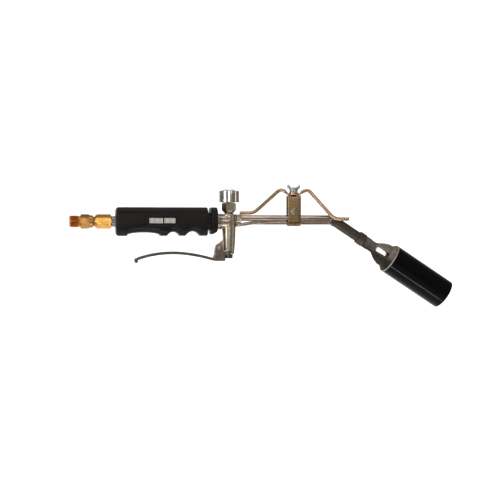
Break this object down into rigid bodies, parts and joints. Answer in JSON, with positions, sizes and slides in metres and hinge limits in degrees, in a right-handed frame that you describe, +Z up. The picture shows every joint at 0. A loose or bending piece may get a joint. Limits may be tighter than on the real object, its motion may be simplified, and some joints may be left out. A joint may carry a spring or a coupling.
{
  "type": "propane roofing torch",
  "caption": "Hand-held gas torch with a gripped handle, trigger lever, control knob, twin tubes, swivelling wire stand and an angled burner cup.",
  "frame": {"origin": "middle of the grip, on the axis of the handle tube", "axes": "+X from the hose inlet towards the burner, +Z up towards the knob and the stand, +Y across the tool"},
  "size_m": [0.531, 0.042, 0.1718],
  "materials": {
    "brass": "machined, slightly tarnished",
    "brass_bright": "machined",
    "seal_rubber": "matte",
    "steel_tube": "bright drawn",
    "grip_plastic": "moulded, finely grained",
    "label_inlay": "printed inlay",
    "nickel": "satin nickel plate",
    "packing": "waxy",
    "chrome": "polished",
    "stainless": "ground",
    "dark_steel": "blackened",
    "lever_steel": "plated, satin",
    "tube_steel": "plated, bright",
    "scorched_steel": "heat-darkened",
    "cast_steel": "cast, heat-stained",
    "black_enamel": "gloss black",
    "yellow_zinc": "yellow passivated zinc",
    "silver_zinc": "blue-white zinc"
  },
  "bodies": {
    "torch": {"hose_nipple": "brass", "coupling_nut": "brass_bright", "sealing_washer": "seal_rubber", "handle_tube": "steel_tube", "grip_sleeve": "grip_plastic", "grip_label": "label_inlay", "grip_collar": "grip_plastic", "body_ferrule": "steel_tube", "valve_body": "nickel", "gland_nut": "nickel", "gland_packing": "packing", "return_spring": "stainless", "spring_cap": "brass", "lever_pin": "stainless", "main_tube_nut": "nickel", "pilot_tube_nut": "nickel", "main_tube": "tube_steel", "pilot_tube": "tube_steel", "neck_sleeve": "scorched_steel", "burner_socket": "scorched_steel", "main_jet": "brass", "jet_holder": "cast_steel", "burner_cage": "cast_steel", "flame_holder": "cast_steel", "burner_cup": "black_enamel", "clamp_strap": "yellow_zinc", "clamp_screw": "silver_zinc", "clamp_nut": "silver_zinc", "stand_bolt": "silver_zinc", "stand_washer": "silver_zinc"},
    "knob": {"knob": "chrome", "knob_spindle": "brass"},
    "needle": {"needle": "stainless"},
    "lever": {"lever": "lever_steel"},
    "trigger_stem": {"trigger_stem": "dark_steel", "stem_seal": "seal_rubber"},
    "wing_nut": {"wing_nut": "silver_zinc"},
    "stand": {"stand_rod": "yellow_zinc"}
  },
  "joints": [
    {"name": "knob_turn", "type": "hinge", "parent": "torch", "child": "knob", "pos_m": [0.0916, 0, 0.03], "axis": [0, 0, 1], "range_deg": [0, 540]},
    {"name": "needle_lift", "type": "slide", "parent": "torch", "child": "needle", "axis": [0, 0, 1], "range_m": [0, 0.0019]},
    {"name": "lever_squeeze", "type": "hinge", "parent": "torch", "child": "lever", "pos_m": [0.0773, 0, -0.0354], "axis": [0, 1, 0], "range_deg": [0, 12], "stiffness_Nm_per_rad": 1.5, "springref_deg": -8.59},
    {"name": "trigger_pull", "type": "slide", "parent": "torch", "child": "trigger_stem", "axis": [0, 0, -1], "range_m": [0, 0.0029], "deforming": ["return_spring"]},
    {"name": "wing_nut_turn", "type": "hinge", "parent": "torch", "child": "wing_nut", "pos_m": [0.1815, 0, 0.043], "axis": [0, 0, 1], "range_deg": [0, 180]},
    {"name": "stand_swivel", "type": "hinge", "parent": "torch", "child": "stand", "pos_m": [0.1815, 0, 0.0377], "axis": [0, 0, -1], "range_deg": [0, 82]}
  ],
  "couplings": [
    {"joint": "needle_lift", "follows": "knob_turn", "m_per_rad": 0.000199},
    {"joint": "trigger_pull", "follows": "lever_squeeze", "m_per_rad": 0.0136}
  ]
}
